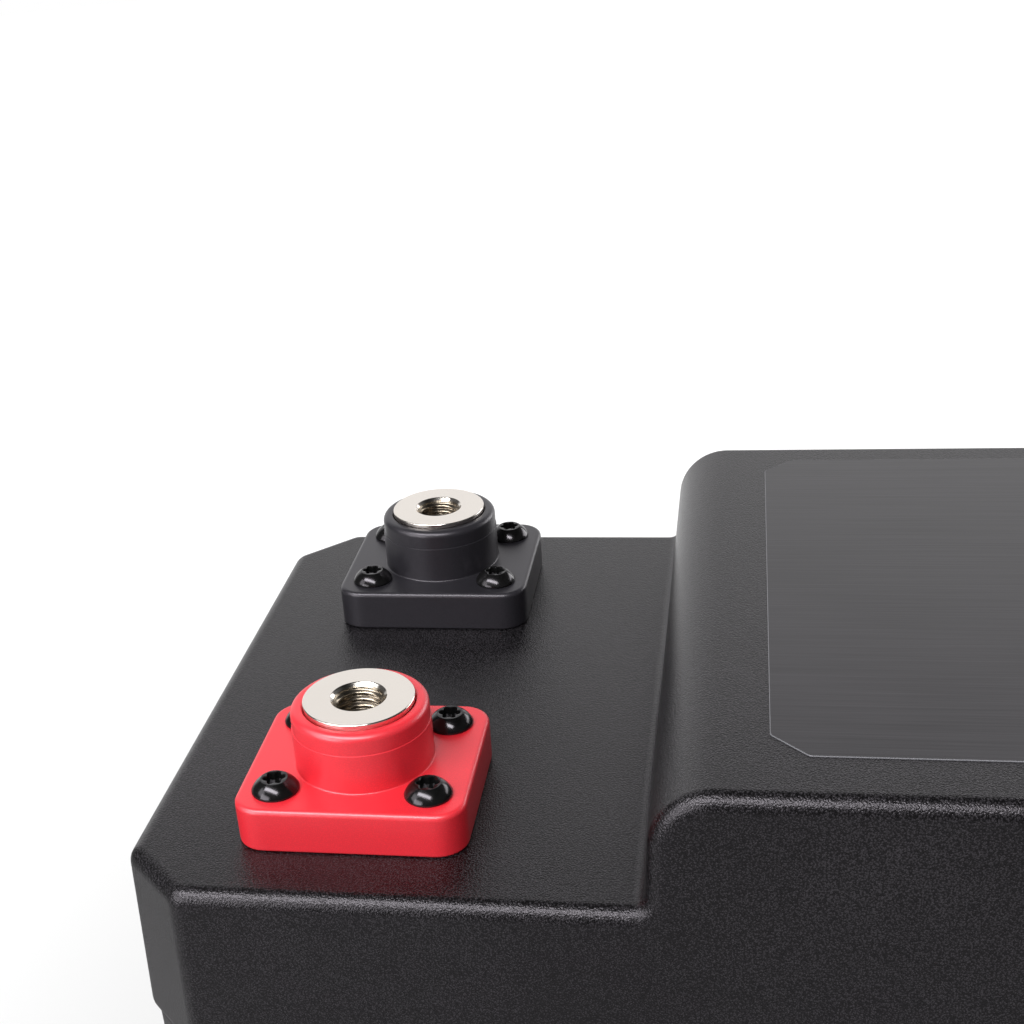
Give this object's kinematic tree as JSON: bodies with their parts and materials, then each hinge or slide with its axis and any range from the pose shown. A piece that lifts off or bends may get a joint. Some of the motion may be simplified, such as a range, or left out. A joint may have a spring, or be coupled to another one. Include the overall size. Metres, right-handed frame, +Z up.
{
  "type": "lithium iron phosphate battery",
  "caption": "Long sealed 12.8 V lithium iron phosphate battery with a stepped lid, red and black screwed-on terminal blocks and the prismatic cell pack inside.",
  "frame": {"origin": "middle of the flat base, at the height the battery stands on", "axes": "+X along the case away from the terminal deck, +Y across it from the positive terminal to the negative one, +Z up"},
  "size_m": [0.4828, 0.1646, 0.2402],
  "materials": {
    "housing_plastic": "fine grained, satin",
    "label_film": "smooth satin film",
    "sealant": "matte",
    "red_plastic": "satin",
    "black_plastic": "satin",
    "plated_brass": "nickel plated, fine turned",
    "black_screw": "gloss black oxide",
    "plain_brass": "knurled, plain",
    "rubber_pad": "matte",
    "zinc_steel": "zinc plated",
    "cell_film": "blue insulating film over an aluminium can",
    "insulating_board": "glass-epoxy board",
    "end_aluminium": "mill finish",
    "foam": "closed-cell foam",
    "frame_plastic": "moulded",
    "nickel_copper": "nickel-plated copper",
    "board_green": "solder mask",
    "component_black": "moulded package",
    "capacitor_yellow": "film capacitor case",
    "connector_white": "moulded",
    "flex_amber": "polyimide film"
  },
  "bodies": {
    "root": {"lower_case": "housing_plastic", "lid": "housing_plastic", "rim_sealant": "sealant", "top_label": "label_film", "positive_terminal_block": "red_plastic", "negative_terminal_block": "black_plastic", "terminal_posts": "plated_brass", "block_screws": "black_screw", "lid_screw_inserts": "plain_brass", "block_gaskets": "rubber_pad", "post_bolts": "zinc_steel", "cell_spacers": "insulating_board", "left_end_plate": "end_aluminium", "right_end_plate": "end_aluminium", "pack_bands": "zinc_steel", "base_pad": "rubber_pad", "side_pads": "foam", "end_pads": "foam", "top_pads": "foam", "busbar_frame": "frame_plastic", "cover_board": "insulating_board", "cell_links": "end_aluminium", "positive_busbar": "nickel_copper", "negative_busbar": "nickel_copper", "negative_riser": "nickel_copper", "return_busbar": "nickel_copper", "unit_heat_sink": "end_aluminium", "unit_nuts": "zinc_steel", "unit_board": "board_green", "unit_pads": "plain_brass", "unit_bolts": "zinc_steel", "unit_transistors": "component_black", "unit_capacitors": "capacitor_yellow", "sense_connectors": "connector_white", "sense_circuits": "flex_amber", "cell_1": "cell_film", "cell_2": "cell_film", "cell_3": "cell_film", "cell_4": "cell_film", "cell_5": "cell_film", "cell_6": "cell_film", "cell_7": "cell_film", "cell_8": "cell_film"}
  },
  "joints": []
}
